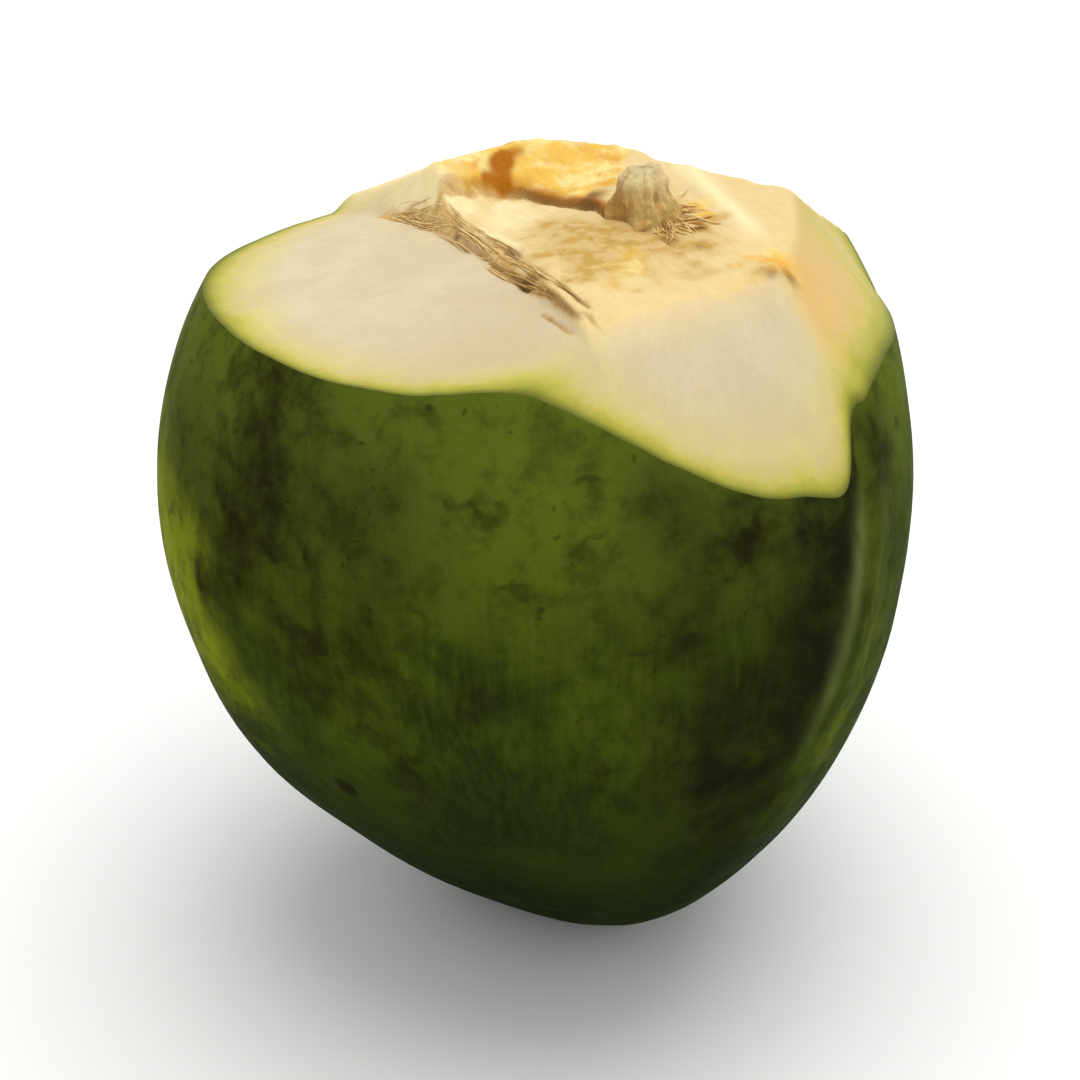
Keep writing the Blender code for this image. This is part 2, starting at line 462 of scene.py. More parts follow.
def stub_ring(x, y):
    """The sunken ring before the stub, and how torn the husk is on it and in the streaks right of it."""
    from_stub = np.hypot(x - STUB_FOOT[0], y - STUB_FOOT[1])
    ring = bell(from_stub - 8.0 * MM, 2.2 * MM) * smooth_step(9 * MM, -3 * MM, y)
    depth = 1.0 * MM * ring * (0.6 + 0.4 * flat_noise(x, y, 3 * MM, 9))
    turn = np.arctan2(y - STUB_FOOT[1], x - STUB_FOOT[0])
    streaked = bell(between(turn + math.radians(22)), math.radians(26)) * bell(from_stub - 15 * MM, 5 * MM)
    ray = np.stack((8 * MM * np.cos(turn), 8 * MM * np.sin(turn), from_stub / 6), axis=-1)
    streaked = streaked * (0.45 + 0.9 * lattice_noise(ray, 1.6 * MM, 17))
    torn = 0.75 * ring * (0.75 + 0.5 * flat_noise(x, y, 2.4 * MM, 14)) + 0.9 * np.clip(streaked, 0, 1)
    return depth, torn


def pale_ridge(x, y):
    """How near places are to the raised ridge that carries a painted highlight, from behind the stub to the
    corner of the right cut.
    """
    start, end = np.array((24.0, 22.0)) * MM, np.array((37.5, -14.0)) * MM
    run = (end - start) / np.linalg.norm(end - start)
    offset = np.stack((x, y), axis=-1) - start
    return bell(offset @ np.array((-run[1], run[0])), 3.0 * MM) * stretch(offset @ run / MM, -8, 6, 30, 46)


def soft_spots(places, x, y, uneven):
    """Soft spots added up: each is a bell round its place, its distances stretched by an uneven factor."""
    total = 0.0
    for at_x, at_y, radius, strength in places:
        total = total + strength * bell(np.hypot(x / MM - at_x, y / MM - at_y) * uneven, radius)
    return total


def trimmed_top(x, y):
    """The height of the trimmed top and the masks that colour it: the plain cuts, with the relief of the torn
    slash, rough fibre right of it, the torn layer of the warm band, a sunken ring round the stub, the ridge
    to its right, small knots, and the faint waves that a knife leaves. Some masks are painted light and
    shade: highlights on the ridge, the slash's lip and the bank, light behind the crease with the front cut,
    and shade in the slash and on the left cut by the valley."""
    height, right_side, on_front, on_side, past_front = plain_top(x, y)
    along, across = slash_frame(x, y)
    uncut = (1 - on_front) * (1 - on_side)
    rough = right_side * uncut
    slash_depth, torn, dark, lip = slash_relief(along, across, uncut)
    behind, layer, layer_edge = torn_layer(x, y, right_side)
    ring_depth, ring_torn = stub_ring(x, y)
    ridge = pale_ridge(x, y)

    drawn_out = np.stack((along / 7, across, 0 * x), axis=-1)
    coarse = lattice_noise(drawn_out, 1.3 * MM, 5) + 0.8 * flat_noise(x, y, 2.2 * MM, 13)
    ripple = flat_noise(x, y, 11 * MM, 7) + 0.4 * flat_noise(x, y, 4 * MM, 8)
    height = height - slash_depth - ring_depth + 1.3 * MM * layer - 0.6 * MM * layer_edge
    height = height + rough * MM * (0.22 * coarse + 0.12 * lattice_noise(drawn_out, 0.6 * MM, 6))
    height = height + 0.22 * MM * ripple + 1.5 * MM * ridge * (1 - 0.7 * on_side)
    for knot_x, knot_y, radius, depth in KNOTS:
        knot = bell(np.hypot(x / MM - knot_x, y / MM - knot_y), radius)
        height = height + depth * MM * knot * flat_noise(x, y, 1.7 * MM, 10)

    uneven = 1 + 0.55 * flat_noise(x, y, 4 * MM, 16)
    drift = flat_noise(x, y, 8 * MM, 15)
    from_warm = np.hypot((x + 9 * MM) / 27, (y - 23 * MM) / 17) / MM + 0.3 * drift
    crease = on_front * (1 - on_front) * (1 - on_side)
    warm = layer * smooth_step(1.15, 0.55, from_warm) + 1.3 * right_side * crease
    warm = warm + right_side * soft_spots(WARM_SPOTS, x, y, uneven)
    hot = 0.45 * bell(behind - 1.5 * MM, 2.2 * MM) * layer
    hot = hot + 0.5 * layer_edge * smooth_step(-26 * MM, -12 * MM, x) + soft_spots(HOT_SPOTS, x, y, uneven)
    torn = torn + 0.85 * layer_edge + ring_torn + soft_spots(TORN_SPOTS, x, y, uneven)
    dark = dark + 0.6 * layer_edge * smooth_step(-20 * MM, -9 * MM, x) + soft_spots(DARK_SPOTS, x, y, uneven)
    bank = smooth_step(-14, -38, x / MM + 8 * drift) * smooth_step(12 * MM, 24 * MM, y)
    # Painted highlights: the ridge, the lip of the slash, the bank at its far end and a few spots.
    pale = ridge + 0.9 * lip + soft_spots(BANK_SPOTS, x, y, uneven)
    pale = pale + rough * (soft_spots(PALE_SPOTS, x, y, uneven) + 0.7 * bank)
    # Painted light: the top is golden just behind its crease with the front cut, where it turns to face the
    # light.
    painted_crease_light = right_side * (1 - on_side) * bell(past_front - 1.0 * MM, 3.5 * MM)
    frayed = 0.15 + soft_spots(FRAYED_SPOTS, x, y, uneven)
    masks = {
        "tan": on_side * (0.35 + 0.65 * soft_spots(TAN_SPOTS, x, y, uneven)),
        "golden": np.clip(rough + 0.6 * painted_crease_light, 0, 1),
        # Painted shade on the left cut, where it dips towards the valley between the front cuts.
        "painted_valley_shade": 0.8 * (1 - right_side) * bell(np.hypot(x + 18 * MM, y + 56 * MM), 22 * MM),
        "torn": np.clip(torn, 0, 1),
        "dark": np.clip(dark, 0, 1),
        "warm": np.clip(warm, 0, 1),
        "hot": np.clip(hot * right_side, 0, 1),
        "pale": np.clip(pale, 0, 1),
        "rough": rough,
        "frayed": np.clip(frayed, 0, 1) * rough,
        "on_side": on_side,
        "on_front": on_front,
    }
    return height, masks


def closed_rows(rows, first, last):
    """Faces of a surface made of so many rings of so many points, closed by a fan to a point at each end.
    Row by row, each quad joins a column and the next one, and wraps round."""
    count, columns = rows
    ring = np.arange(columns)
    after = (ring + 1) % columns
    start = np.arange(count - 1)[:, None] * columns
    quads = np.stack((start + ring, start + after, start + columns + after, start + columns + ring), axis=-1)
    top = (count - 1) * columns
    low_fan = np.stack((after, ring, np.full(columns, first)), axis=-1)
    high_fan = np.stack((top + ring, top + after, np.full(columns, last)), axis=-1)
    return low_fan, quads.reshape(-1, 4), high_fan


def new_mesh_object(name, points, faces, materials):
    """A finished piece at the origin: its points and faces go straight into the mesh, shaded smooth."""
    mesh = bpy.data.meshes.new(name)
    mesh.from_pydata(points.reshape(-1, 3).tolist(), [], [face for group in faces for face in group.tolist()])
    for material in materials:
        mesh.materials.append(material)
    mesh.shade_smooth()
    obj = bpy.data.objects.new(name, mesh)
    bpy.context.scene.collection.objects.link(obj)
    return obj


def add_value(obj, name, values):
    """Gives each point of a piece a number, for its material to read by this name."""
    layer = obj.data.attributes.new(name, "FLOAT", "POINT")
    layer.data.foreach_set("value", np.asarray(values, np.float32).ravel())


def add_vector(obj, name, values):
    """Gives each point of a piece a vector, for its material to read by this name."""
    layer = obj.data.attributes.new(name, "FLOAT_VECTOR", "POINT")
    layer.data.foreach_set("vector", np.asarray(values, np.float32).ravel())


def skin_edge_levels(turn):
    """For each turn, the level at which the skin meets the trimmed top, by halving the span that holds it."""
    low, high = np.zeros_like(turn), np.full_like(turn, 0.98)
    for _ in range(40):
        middle = (low + high) / 2
        point = husk_points(middle, turn)
        above = point[..., 2] > trimmed_top(point[..., 0], point[..., 1])[0]
        high = np.where(above, middle, high)
        low = np.where(above, low, middle)
    return low


def nut_surface(columns, skin_rows, cut_rows):
    """The whole nut as rows of rings. Skin rows climb in even angle from the tip to the edge of the cuts, and
    sink flat onto the resting spot. Cut rows run straight, seen from above, from that edge to a pole."""
    turn = np.linspace(-math.pi, math.pi, columns, endpoint=False)
    edge = skin_edge_levels(turn)
    share = np.arange(1, skin_rows + 1)[:, None] / skin_rows
    level = -np.cos(share * np.arccos(-edge))
    turns = np.broadcast_to(turn, level.shape)
    skin = husk_points(level, turns)
    dents = lattice_noise(skin, 26 * MM, 11) * 0.5 + lattice_noise(skin, 9 * MM, 12) * 0.12
    outward = np.stack((np.cos(turns), np.sin(turns), 0 * turns), axis=-1)
    skin = skin + outward * (0.8 * MM * dents * stretch(share, 0, 0.2, 0.9, 1))[..., None]
    skin[..., 2] = soft_max(skin[..., 2], 0 * skin[..., 2], 1.2 * MM)

    pole = np.array((-4.0, -2.0)) * MM
    share = (np.arange(1, cut_rows)[:, None] / cut_rows) ** 1.25
    rim = skin[-1]
    x = rim[:, 0] + (pole[0] - rim[:, 0]) * share
    y = rim[:, 1] + (pole[1] - rim[:, 1]) * share
    height = trimmed_top(x, y)[0]
    cut = np.stack((x, y, height), axis=-1)
    tip = np.array((skin[0, :, 0].mean(), skin[0, :, 1].mean(), 0.0))
    crown = np.array((*pole, trimmed_top(pole[:1], pole[1:])[0][0]))
    return skin, cut, tip, crown


# Stains on the skin, as skin_patches reads them.
STAINS = (
    (-138, 0.40, 7.0, 0.22, 0.45),
    (-143, 0.58, 14.0, 0.12, 0.30),
    (-104, -0.05, 8.0, 0.10, 0.25),
    (-60, -0.42, 12.0, 0.14, 0.35),
    (-141, 0.17, 7.0, 0.14, 0.45),
    (-128, 0.30, 15.0, 0.26, 0.30),
    (-130, -0.02, 8.0, 0.13, 0.30),
    (-148, 0.30, 7.0, 0.22, 0.15),
    (-62, 0.25, 3.5, 0.05, 0.9),
    (-115, -0.28, 4.0, 0.13, 0.55),
    (-118, 0.04, 6.0, 0.07, 0.5),
    (-124, -0.12, 9.0, 0.10, 0.4),
    (-70, -0.20, 3.5, 0.15, 0.6),
    (-131.8, -0.381, 2.0, 0.020, 1.6),
    (-150, 0.03, 2.5, 0.05, 0.8),
    (38, 0.18, 7.0, 0.16, 0.8),
    (66, -0.15, 5.0, 0.14, 0.6),
    (121, 0.10, 6.0, 0.18, 0.8),
    (168, 0.25, 6.0, 0.12, 0.7),
    (-168, -0.20, 5.0, 0.12, 0.6),
)

# Broad darker patches of the skin: painted shade, added to the shade left of the right ridge.
SHADOWS = (
    (-129, 0.36, 14.0, 0.25, 0.60),
    (-113, 0.20, 6.0, 0.13, 0.50),
    (-113, 0.40, 7.0, 0.07, 0.45),
    (-157, 0.30, 8.0, 0.18, 0.60),
    (-73, 0.38, 6.0, 0.10, 0.55),
    (-67, 0.25, 8.0, 0.14, 0.65),
    (-60, 0.32, 4.0, 0.07, 0.60),
    (-71, -0.23, 9.0, 0.18, 0.75),
    (-72, 0.11, 5.0, 0.08, 0.40),
    (-33, 0.27, 6.0, 0.13, 0.80),
    (100, -0.10, 14.0, 0.20, 0.45),
    (178, 0.05, 12.0, 0.22, 0.40),
)

# Places where the skin was scratched, by turn in degrees and level, and their half width and half height.
SCRATCH_SIZE = (3.2, 0.045)
SCRATCHES = (
    (-97.5, 0.371), (-94.6, 0.214), (-71.3, 0.091), (-82.3, 0.453), (-83.5, 0.296), (-78.5, 0.029),
    (-58.5, 0.277), (-129.3, -0.008), (-84.6, -0.222), (-108.0, 0.16), (-101.0, -0.06), (-66.0, -0.05),
    (25.0, 0.10), (52.0, 0.22), (88.0, 0.05), (104.0, -0.20), (140.0, 0.15), (160.0, 0.00), (-160.0, 0.12),
)


def skin_marks(level, turn):
    """Masks over the skin: stains and scratched places, a painted highlight along the right ridge, painted
    shade left of it and in broad dark patches, and the yellow sides. Each is a bell or a soft step round its
    own place."""
    from_right = np.degrees(between(turn - ridge_turn(RIGHT_RIDGE, level)))
    # Painted shade left of the right ridge, darkest against it, and under the corner of the front cut.
    shade = stretch(from_right, -20, -5, -1.5, 0.5) * smooth_step(-0.95, 0.1, level)
    shade = shade + 1.1 * bell(from_right + 8, 7.0) * bell(level - 0.28, 0.09)
    left_edge = np.radians(-147 + 14 * smooth_step(0.1, -0.45, level) - 7 * smooth_step(0.15, 0.32, level))
    from_left = np.degrees(between(turn - left_edge))
    yellow = stretch(from_left, -58, -28, -12, 7) * stretch(level, -0.45, -0.02, 0.05, 0.52)
    yellow = yellow + 0.40 * bell(from_right - 8, 6.0) * stretch(level, -0.7, -0.2, -0.15, 0.35)
    masks = {
        "stain": skin_patches(STAINS, level, turn),
        "scratched": skin_patches(((*place, *SCRATCH_SIZE, 1.0) for place in SCRATCHES), level, turn),
        # A painted highlight along the right ridge.
        "painted_ridge_highlight": bell(from_right + 0.5, 1.5) * stretch(level, -0.36, 0.02, 0.16, 0.27),
        "shade": shade + skin_patches(SHADOWS, level, turn),
        "yellow": yellow,
    }
    return {name: np.clip(values, 0, 1) for name, values in masks.items()}


def rim_reach(x, y, on_side, on_front):
    """How fast the colours of the rim pass with depth. They reach further in on the right cut, in the valley
    between the two front cuts and at the far left, and less far at the right of the front cut."""
    valley = bell(np.hypot(x + 18 * MM, y + 66 * MM), 20 * MM)
    reach = 0.85 - 0.17 * on_side - 0.45 * smooth_step(-50 * MM, -85 * MM, x) - 0.15 * valley
    reach = reach - 0.3 * on_side * bell(np.hypot(x - 50 * MM, y - 8 * MM), 18 * MM)
    return reach + 0.8 * on_front * smooth_step(-10 * MM, 20 * MM, x)


def sharpen_rim(nut, first, count):
    """Marks the edges between this many points, from the first on, as sharp."""
    ends = np.empty(len(nut.data.edges) * 2, np.int32)
    nut.data.edges.foreach_get("vertices", ends)
    on_rim = (ends >= first) & (ends < first + count)
    sharp = nut.data.attributes.new("sharp_edge", "BOOLEAN", "EDGE")
    sharp.data.foreach_set("value", on_rim.reshape(-1, 2).all(axis=1))


def build_nut(sizes, materials):
    """The whole nut: its surface, its two finishes, the sharp rim between them and its masks."""
    columns, skin_rows, cut_rows = sizes.columns, sizes.skin_rows, sizes.cut_rows
    skin, cut, tip, crown = nut_surface(columns, skin_rows, cut_rows)
    rings = np.concatenate((skin, cut)).reshape(-1, 3)
    points = np.concatenate((rings, (tip, crown)))
    faces = closed_rows((skin_rows + cut_rows - 1, columns), len(rings), len(rings) + 1)
    nut = new_mesh_object("green_coconut", points, faces, materials)
    slots = np.ones(len(nut.data.polygons), np.int32)
    slots[: skin_rows * columns] = 0
    nut.data.polygons.foreach_set("material_index", slots)
    sharpen_rim(nut, (skin_rows - 1) * columns, columns)

    x, y = points[:, 0], points[:, 1]
    level, turn, _ = husk_level_turn(points)
    on_skin, on_cut = skin_marks(level, turn), trimmed_top(x, y)[1]
    on_side, on_front = on_cut.pop("on_side"), on_cut.pop("on_front")
    for name, values in (on_skin | on_cut).items():
        add_value(nut, name, values)
    depth = depth_under_skin(points) * rim_reach(x, y, on_side, on_front)
    depth[: skin_rows * columns] = 0
    add_value(nut, "depth", depth / MM)
    add_vector(nut, "grain", radial_grain(points))
    return nut


def radial_grain(points):
    """A place in which streaks run away from the stub: its direction from the stub on a fixed circle, and a
    slow share of its distance. It has no seam."""
    offset = points[:, :2] - STUB_FOOT[:2]
    distance = np.linalg.norm(offset, axis=1, keepdims=True)
    circle = offset / np.maximum(distance, 1 * MM) * 45 * MM
    return np.concatenate((circle, 0.22 * distance), axis=1)


def stub_surface(climb, turn):
    """The rings of the stub, then its lumps, its grooves and the drawn-out places that these follow. Its
    outline is a quarter round from a foot sunk in the husk to a blunt top, stretched to its height, with
    lumps of three sizes and ragged grooves that run up it."""
    tall = STUB_TOP - STUB_FOOT[2]
    side = np.cos(climb) ** 0.62
    height = tall * np.sin(climb) ** 0.8 + 0 * turn
    around = np.stack((np.cos(turn) + 0 * climb, np.sin(turn) + 0 * climb), axis=-1)
    round_place = np.concatenate((around * (9 * MM * side)[..., None], height[..., None]), axis=-1)
    drawn_out = np.concatenate((around * 8 * MM, height[..., None] / 4), axis=-1)
    lumps = lattice_noise(round_place + 7 * MM, 5.5 * MM, 22) + 0.5 * lattice_noise(round_place, 2.6 * MM, 25)
    grooves = lattice_noise(drawn_out, 1.8 * MM, 21)
    fine = lattice_noise(drawn_out, 0.8 * MM, 23) + 0.6 * lattice_noise(round_place, 0.9 * MM, 26)
    flare = 1.4 * MM * bell(climb, 0.30)
    swell = (1.3 * lumps + 0.6 * grooves + 0.3 * fine) * MM
    radius = side * (6.3 * MM + flare + swell)
    height = height + (1.5 * lumps + 0.6 * fine) * MM * np.sin(climb)
    height = np.minimum(height, STUB_TOP - 0.1 * MM - STUB_FOOT[2])
    x = STUB_FOOT[0] + radius * around[..., 0]
    y = STUB_FOOT[1] + radius * around[..., 1] * 0.95 + 0.12 * height
    return np.stack((x, y, STUB_FOOT[2] + height), axis=-1), lumps, grooves, drawn_out


def build_stub(materials):
    """The stub of the stalk: a torn, lumpy knob, rusty on its left, with painted shade in its hollows, on its
    left and round its foot, and a painted highlight on top. Each mask ends with its values at the foot and at
    the top."""
    climb = np.linspace(0, math.pi / 2, STUB_ROWS, endpoint=False)[:, None]
    turn = np.linspace(0, math.tau, STUB_COLUMNS, endpoint=False)[None, :]
    points, lumps, grooves, drawn_out = stub_surface(climb, turn)
    rings = points.reshape(-1, 3)
    ends = (points[0].mean(axis=0), points[-1].mean(axis=0))
    faces = closed_rows((STUB_ROWS, STUB_COLUMNS), len(rings), len(rings) + 1)
    stub = new_mesh_object("stalk_stub", np.concatenate((rings, ends)), faces, materials)
    # Painted shade in the hollows, on the left side and round the foot; the left side is also rusty.
    hollow = smooth_step(0.15, -0.75, lumps) + 0.7 * smooth_step(0.0, -0.7, grooves)
    left = smooth_step(0.15, -0.7, np.cos(turn + 0.35)) * smooth_step(1.2, 0.7, climb)
    dark = np.clip(0.75 * hollow + 0.45 * left + 0.5 * bell(climb, 0.5), 0, 1)
    # A painted highlight on top.
    pale = smooth_step(0.35, 1.0, climb) + 0 * turn
    add_value(stub, "dark", np.append(dark.ravel(), (1.0, 0.4)))
    add_value(stub, "rusty", np.append(left.ravel(), (0.5, 0.3)))
    add_value(stub, "pale", np.append(pale.ravel(), (0.0, 1.0)))
    add_vector(stub, "grain", np.concatenate((drawn_out.reshape(-1, 3), np.zeros((2, 3)))))
    return stub


def strand_tubes(paths, radii):
    """The rings of many strands at once, each square to its path. Paths is strands by points by 3, and radii
    is strands by points."""
    ahead = np.gradient(paths, axis=1)
    ahead = ahead / np.linalg.norm(ahead, axis=-1, keepdims=True)
    sideways = np.cross(ahead, (0.0, 0.0, 1.0))
    sideways = sideways / np.linalg.norm(sideways, axis=-1, keepdims=True)
    upward = np.cross(sideways, ahead)
    angle = np.linspace(0, math.tau, STRAND_SIDES, endpoint=False)[None, None, :, None]
    ring = np.cos(angle) * sideways[:, :, None] + np.sin(angle) * upward[:, :, None]
    return paths[:, :, None] + ring * radii[:, :, None, None]


def strand_faces(strands, count):
    """Quads between the rings of each strand, and a flat face at both of its ends."""
    sides = STRAND_SIDES
    ring = np.arange(sides)
    after = (ring + 1) % sides
    base = (np.arange(strands)[:, None, None] * count + np.arange(count - 1)[None, :, None]) * sides
    quads = np.stack((base + ring, base + sides + ring, base + sides + after, base + after), axis=-1)
    first = np.arange(strands)[:, None] * count * sides
    low = first + ring
    high = first + (count - 1) * sides + ring[::-1]
    return quads.reshape(-1, 4), low, high


def strand_radii(count, thickness):
    """Thickness that swells quickly from a point, holds, and thins to a point."""
    share = np.linspace(0, 1, count)[None, :]
    return thickness[:, None] * (np.sin(math.pi * share) ** 0.5 * 0.97 + 0.03)


def smooth_along(values, times):
    """Averages each strand's values with their neighbours this many times, all but its two ends."""
    for _ in range(times):
        values[:, 1:-1] = (values[:, :-2] + 2 * values[:, 1:-1] + values[:, 2:]) / 4
    return values


def build_slash_fibres(sizes, materials):
    """Torn strands along the slash. Each follows it for a part of its length, at its own distance across it,
    and hardly wavers. Together they make a bank that fills the step between the two cuts, and a few stand
    clear of it. Towards the near end they gather into the two longest splits and lie flat."""
    draw = np.random.default_rng(41)
    strands, count = sizes.slash_strands, SLASH_STRAND_POINTS
    start = draw.uniform(-64, 22, strands) * MM
    length = draw.uniform(6, 26, strands) * MM
    end = np.minimum(start + length, draw.uniform(20, 38, strands) * MM)
    start = np.minimum(start, end - 6 * MM)
    share = np.linspace(0, 1, count)[None, :]
    along = start[:, None] + (end - start)[:, None] * share
    middle, half = slash_band(along)
    home = middle + draw.uniform(-1.25, 0.95, strands)[:, None] * half
    upper, lower = split_middle(along, SPLITS[0]), split_middle(along, SPLITS[1])
    spread = np.where(home[:, :1] > 2.2 * MM, upper, lower) + draw.normal(0, 0.25, strands)[:, None] * MM
    fan = smooth_step(12 * MM, 28 * MM, along)
    tilt = draw.normal(0, 0.03, strands)[:, None] * (along - along.mean(axis=1, keepdims=True))
    wander = lattice_noise(np.stack((along, 60 * home[:, :1] + 0 * along, 0 * along), -1), 9 * MM, 42)
    across = (home + tilt) * (1 - fan) + spread * fan + 0.3 * MM * wander
    across = across - slash_bend(along)
    place = SLASH_POINT + along[..., None] * SLASH_ALONG + across[..., None] * SLASH_ACROSS
    x, y = place[..., 0], place[..., 1]
    thickness = draw.uniform(0.07, 0.22, strands) * MM
    lift = (draw.uniform(-0.2, 0.20, strands) + 0.5 * (draw.uniform(0, 1, strands) > 0.94)) * MM
    rise = lift[:, None] * (1 - fan) + 0.15 * thickness[:, None]
    height = smooth_along(plain_top(x, y)[0], 6) + rise * np.sin(math.pi * share) ** 0.7
    height = height - 0.35 * MM * (1 - np.sin(math.pi * share) ** 0.4)
    paths = np.stack((x, y, height), axis=-1)
    # Strands take the painted shade of the slash where they lie in its pits and along its lower edge.
    tone = draw.uniform(0.45, 1.2, strands)[:, None] * (1 - 0.8 * trimmed_top(x, y)[1]["dark"])
    radii = strand_radii(count, thickness) * (1 - 0.45 * fan)
    return fibre_object("slash_fibres", paths, radii, tone, materials)


def build_stub_fibres(sizes, materials):
    """Short torn strands round the foot of the stub, in tufts, mostly in front and to the right of it. They
    start against it, lie down on the husk and point away."""
    draw = np.random.default_rng(51)
    strands, count = sizes.stub_strands, STUB_STRAND_POINTS
    tufts = draw.normal(-32, 30, 12)
    bearing = np.radians(draw.choice(tufts, strands) + draw.normal(0, 7, strands))
    reach = draw.uniform(5.5, 10.0, strands) * MM
    length = draw.uniform(2.5, 8.5, strands) * MM
    curl = draw.normal(0, 0.16, strands)
    thickness = draw.uniform(0.10, 0.26, strands) * MM
    share = np.linspace(0, 1, count)[None, :]
    out = reach[:, None] + length[:, None] * share
    turn = bearing[:, None] + curl[:, None] * share
    x = STUB_FOOT[0] + out * np.cos(turn)
    y = STUB_FOOT[1] + out * np.sin(turn)
    start_up = draw.uniform(0.2, 1.6, strands)[:, None] * MM * (1 - share) ** 2.5
    loose = draw.uniform(-0.2, 0.3, strands)[:, None] * MM * share
    height = smooth_along(trimmed_top(x, y)[0], 4) + start_up + loose
    paths = np.stack((x, y, height), axis=-1)
    tone = draw.uniform(0.15, 0.95, strands)[:, None] + 0 * share
    return fibre_object("stub_fibres", paths, strand_radii(count, thickness), tone, materials)


def fibre_object(name, paths, radii, tone, materials):
    """Strands as one piece, each point with the tone of its strand at that place."""
    rings = strand_tubes(paths, radii)
    obj = new_mesh_object(name, rings, strand_faces(*radii.shape), materials)
    add_value(obj, "tone", np.broadcast_to(tone[:, :, None], rings.shape[:3]))
    return obj


# Materials ---------------------------------------------------------------------------------------------

# What each kind of node is set to, and which of its outputs is read, unless a call says otherwise.
USUAL_SETTINGS = {
    "MapRange": {"interpolation_type": "SMOOTHSTEP"},
    "Math": {"operation": "MULTIPLY"},
    "Mix": {"data_type": "RGBA"},
}
USUAL_OUTPUTS = {"Attribute": "Fac", "Mix": 2, "SeparateXYZ": "Z", "TexCoord": "Object"}


def add_node(material, kind, inputs=(), output=None, stops=(), **settings):
    """Adds one node and gives back one of its outputs. Inputs are values or outputs of other nodes, either in
    the order of its sockets or under their names or numbers. Stops are the places and colours of a ramp."""
    tree = material.node_tree
    node = tree.nodes.new("ShaderNode" + kind)
    for name, value in (USUAL_SETTINGS.get(kind, {}) | settings).items():
        setattr(node, name, value)
    if stops:
        elements = node.color_ramp.elements
        while len(elements) < len(stops):
            elements.new(1.0)
        for element, (position, colour) in zip(elements, stops):
            element.position = position
            element.color = (*colour, 1.0)
    named_inputs = inputs if isinstance(inputs, dict) else dict(enumerate(inputs))
    for name, value in named_inputs.items():
        socket = node.inputs[name]
        if isinstance(value, bpy.types.NodeSocket):
            tree.links.new(value, socket)
        else:
            socket.default_value = (*value, 1.0) if socket.type == "RGBA" else value
    if output is None:
        output = USUAL_OUTPUTS.get(kind, 0)
    return node.outputs[output] if node.outputs else None


def new_material(name):
    """A material with no nodes yet."""
    material = bpy.data.materials.new(name)
    material.use_nodes = True
    material.node_tree.nodes.clear()
    return material


def finish_material(material, finish, relief=None, strength=0.0, depth=0.0):
    """Sends a surface with this finish to the material's output, with its relief as a bump if it has one."""
    if relief is not None:
        bump = {"Height": relief, "Strength": strength, "Distance": depth}
        finish["Normal"] = add_node(material, "Bump", bump)
    surface = add_node(material, "BsdfPrincipled", finish)
    add_node(material, "OutputMaterial", (surface,))
    return material


def grain(place, spacing_mm, detail=3.0, roughness=0.55, distortion=0.0):
    """What makes a noise's grain this many millimetres across, at places in metres."""
    return {
        "Vector": place,
        "Scale": 1 / (spacing_mm * MM),
        "Detail": detail,
        "Roughness": roughness,
        "Distortion": distortion,
    }


def patches(material, texture, low, high, least=0.0, most=1.0):
    """Soft patches: noise of this grain, eased from least at its low value to most at its high one."""
    return add_node(material, "MapRange", (add_node(material, "TexNoise", texture), low, high, least, most))


def ragged_mask(material, name, uneven, share, low, high):
    """A mask of the piece with a share of something uneven added to it, eased from 0 at low to 1 at high."""
    mask = add_node(material, "Attribute", attribute_name=name)
    mask = add_node(material, "Math", (uneven, share, mask), operation="MULTIPLY_ADD")
    return add_node(material, "MapRange", (mask, low, high))


def masked(material, name, factor):
    """A factor kept only where the piece's mask of this name is."""
    return add_node(material, "Math", (add_node(material, "Attribute", attribute_name=name), factor))


def coat(material, colour, factor, coating, strength=1.0):
    """Lays a coating over a colour as far as the factor says, at this strength."""
    if strength != 1.0:
        factor = add_node(material, "Math", (factor, strength))
    return add_node(material, "Mix", {0: factor, 6: colour, 7: coating})


def added_up(material, *layers):
    """The sum of some layers, each a value and how much of it counts."""
    total = 0.0
    for value, share in layers:
        total = add_node(material, "Math", (value, share, total), operation="MULTIPLY_ADD")
    return total


